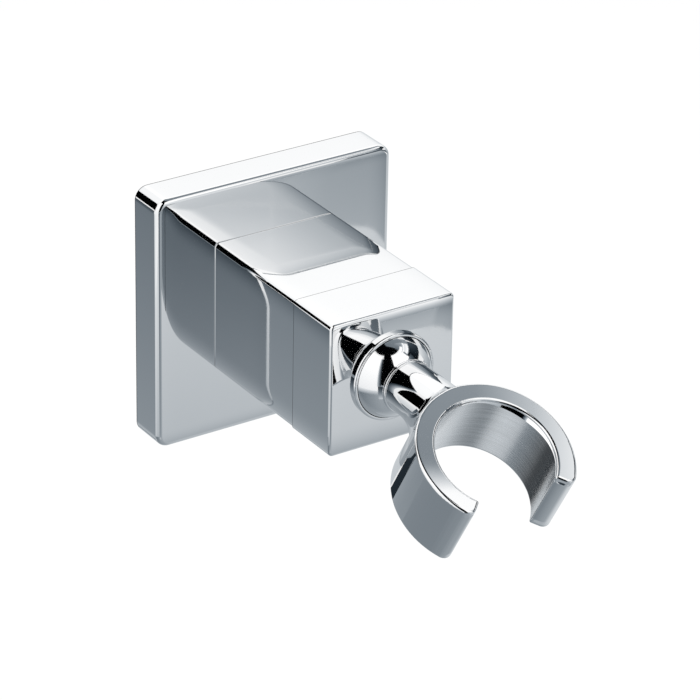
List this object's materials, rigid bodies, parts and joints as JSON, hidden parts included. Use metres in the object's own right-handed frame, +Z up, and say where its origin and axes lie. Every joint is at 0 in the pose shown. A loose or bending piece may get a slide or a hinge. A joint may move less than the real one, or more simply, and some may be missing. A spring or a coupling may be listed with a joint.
{
  "type": "hand shower holder",
  "caption": "Wall-mounted hand shower holder: square plate and body in polished chrome, with a ball-jointed stem that carries an inclined open ring.",
  "frame": {"origin": "where the square body's centre line meets the wall, which is also the middle of the two screw holes", "axes": "+Y into the wall, so the body stands out along -Y; +Z up; +X to the right of someone facing the wall"},
  "size_m": [0.054, 0.0936, 0.054],
  "materials": {
    "polished_chrome": "polished chrome plating; the ring's bore is brushed around",
    "zinc_steel": "zinc-plated",
    "dark_steel": "black oxide",
    "spring_steel": "plain spring steel",
    "turned_brass": "turned, unplated",
    "seal_rubber": "matt black",
    "liner_plastic": "natural white acetal"
  },
  "bodies": {
    "housing": {"rosette": "polished_chrome", "sleeve": "polished_chrome", "front_block": "polished_chrome", "mounting_plate": "zinc_steel", "mounting_post": "turned_brass", "post_screw": "zinc_steel", "dowel_pin": "zinc_steel", "wall_seal": "seal_rubber", "sleeve_grub_screw": "dark_steel", "lock_screw": "dark_steel", "wiper_ring": "seal_rubber", "thrust_washer": "liner_plastic", "disc_spring_front": "spring_steel", "disc_spring_rear": "spring_steel", "tension_ring": "turned_brass"},
    "cup": {"pressure_cup": "turned_brass"},
    "liner": {"friction_liner": "liner_plastic"},
    "holder": {"pivot_ball": "polished_chrome", "ball_screw": "zinc_steel", "fork": "polished_chrome"}
  },
  "joints": [
    {"name": "spin", "type": "hinge", "parent": "housing", "child": "cup", "pos_m": [0, -0.0483, 0], "axis": [0, 1, 0], "continuous": true},
    {"name": "swing", "type": "hinge", "parent": "cup", "child": "liner", "pos_m": [0, -0.0483, 0], "axis": [0, 0, 1], "range_deg": [-23, 23]},
    {"name": "tilt", "type": "hinge", "parent": "liner", "child": "holder", "pos_m": [0, -0.0483, 0], "axis": [1, 0, 0], "range_deg": [-23, 23]}
  ]
}
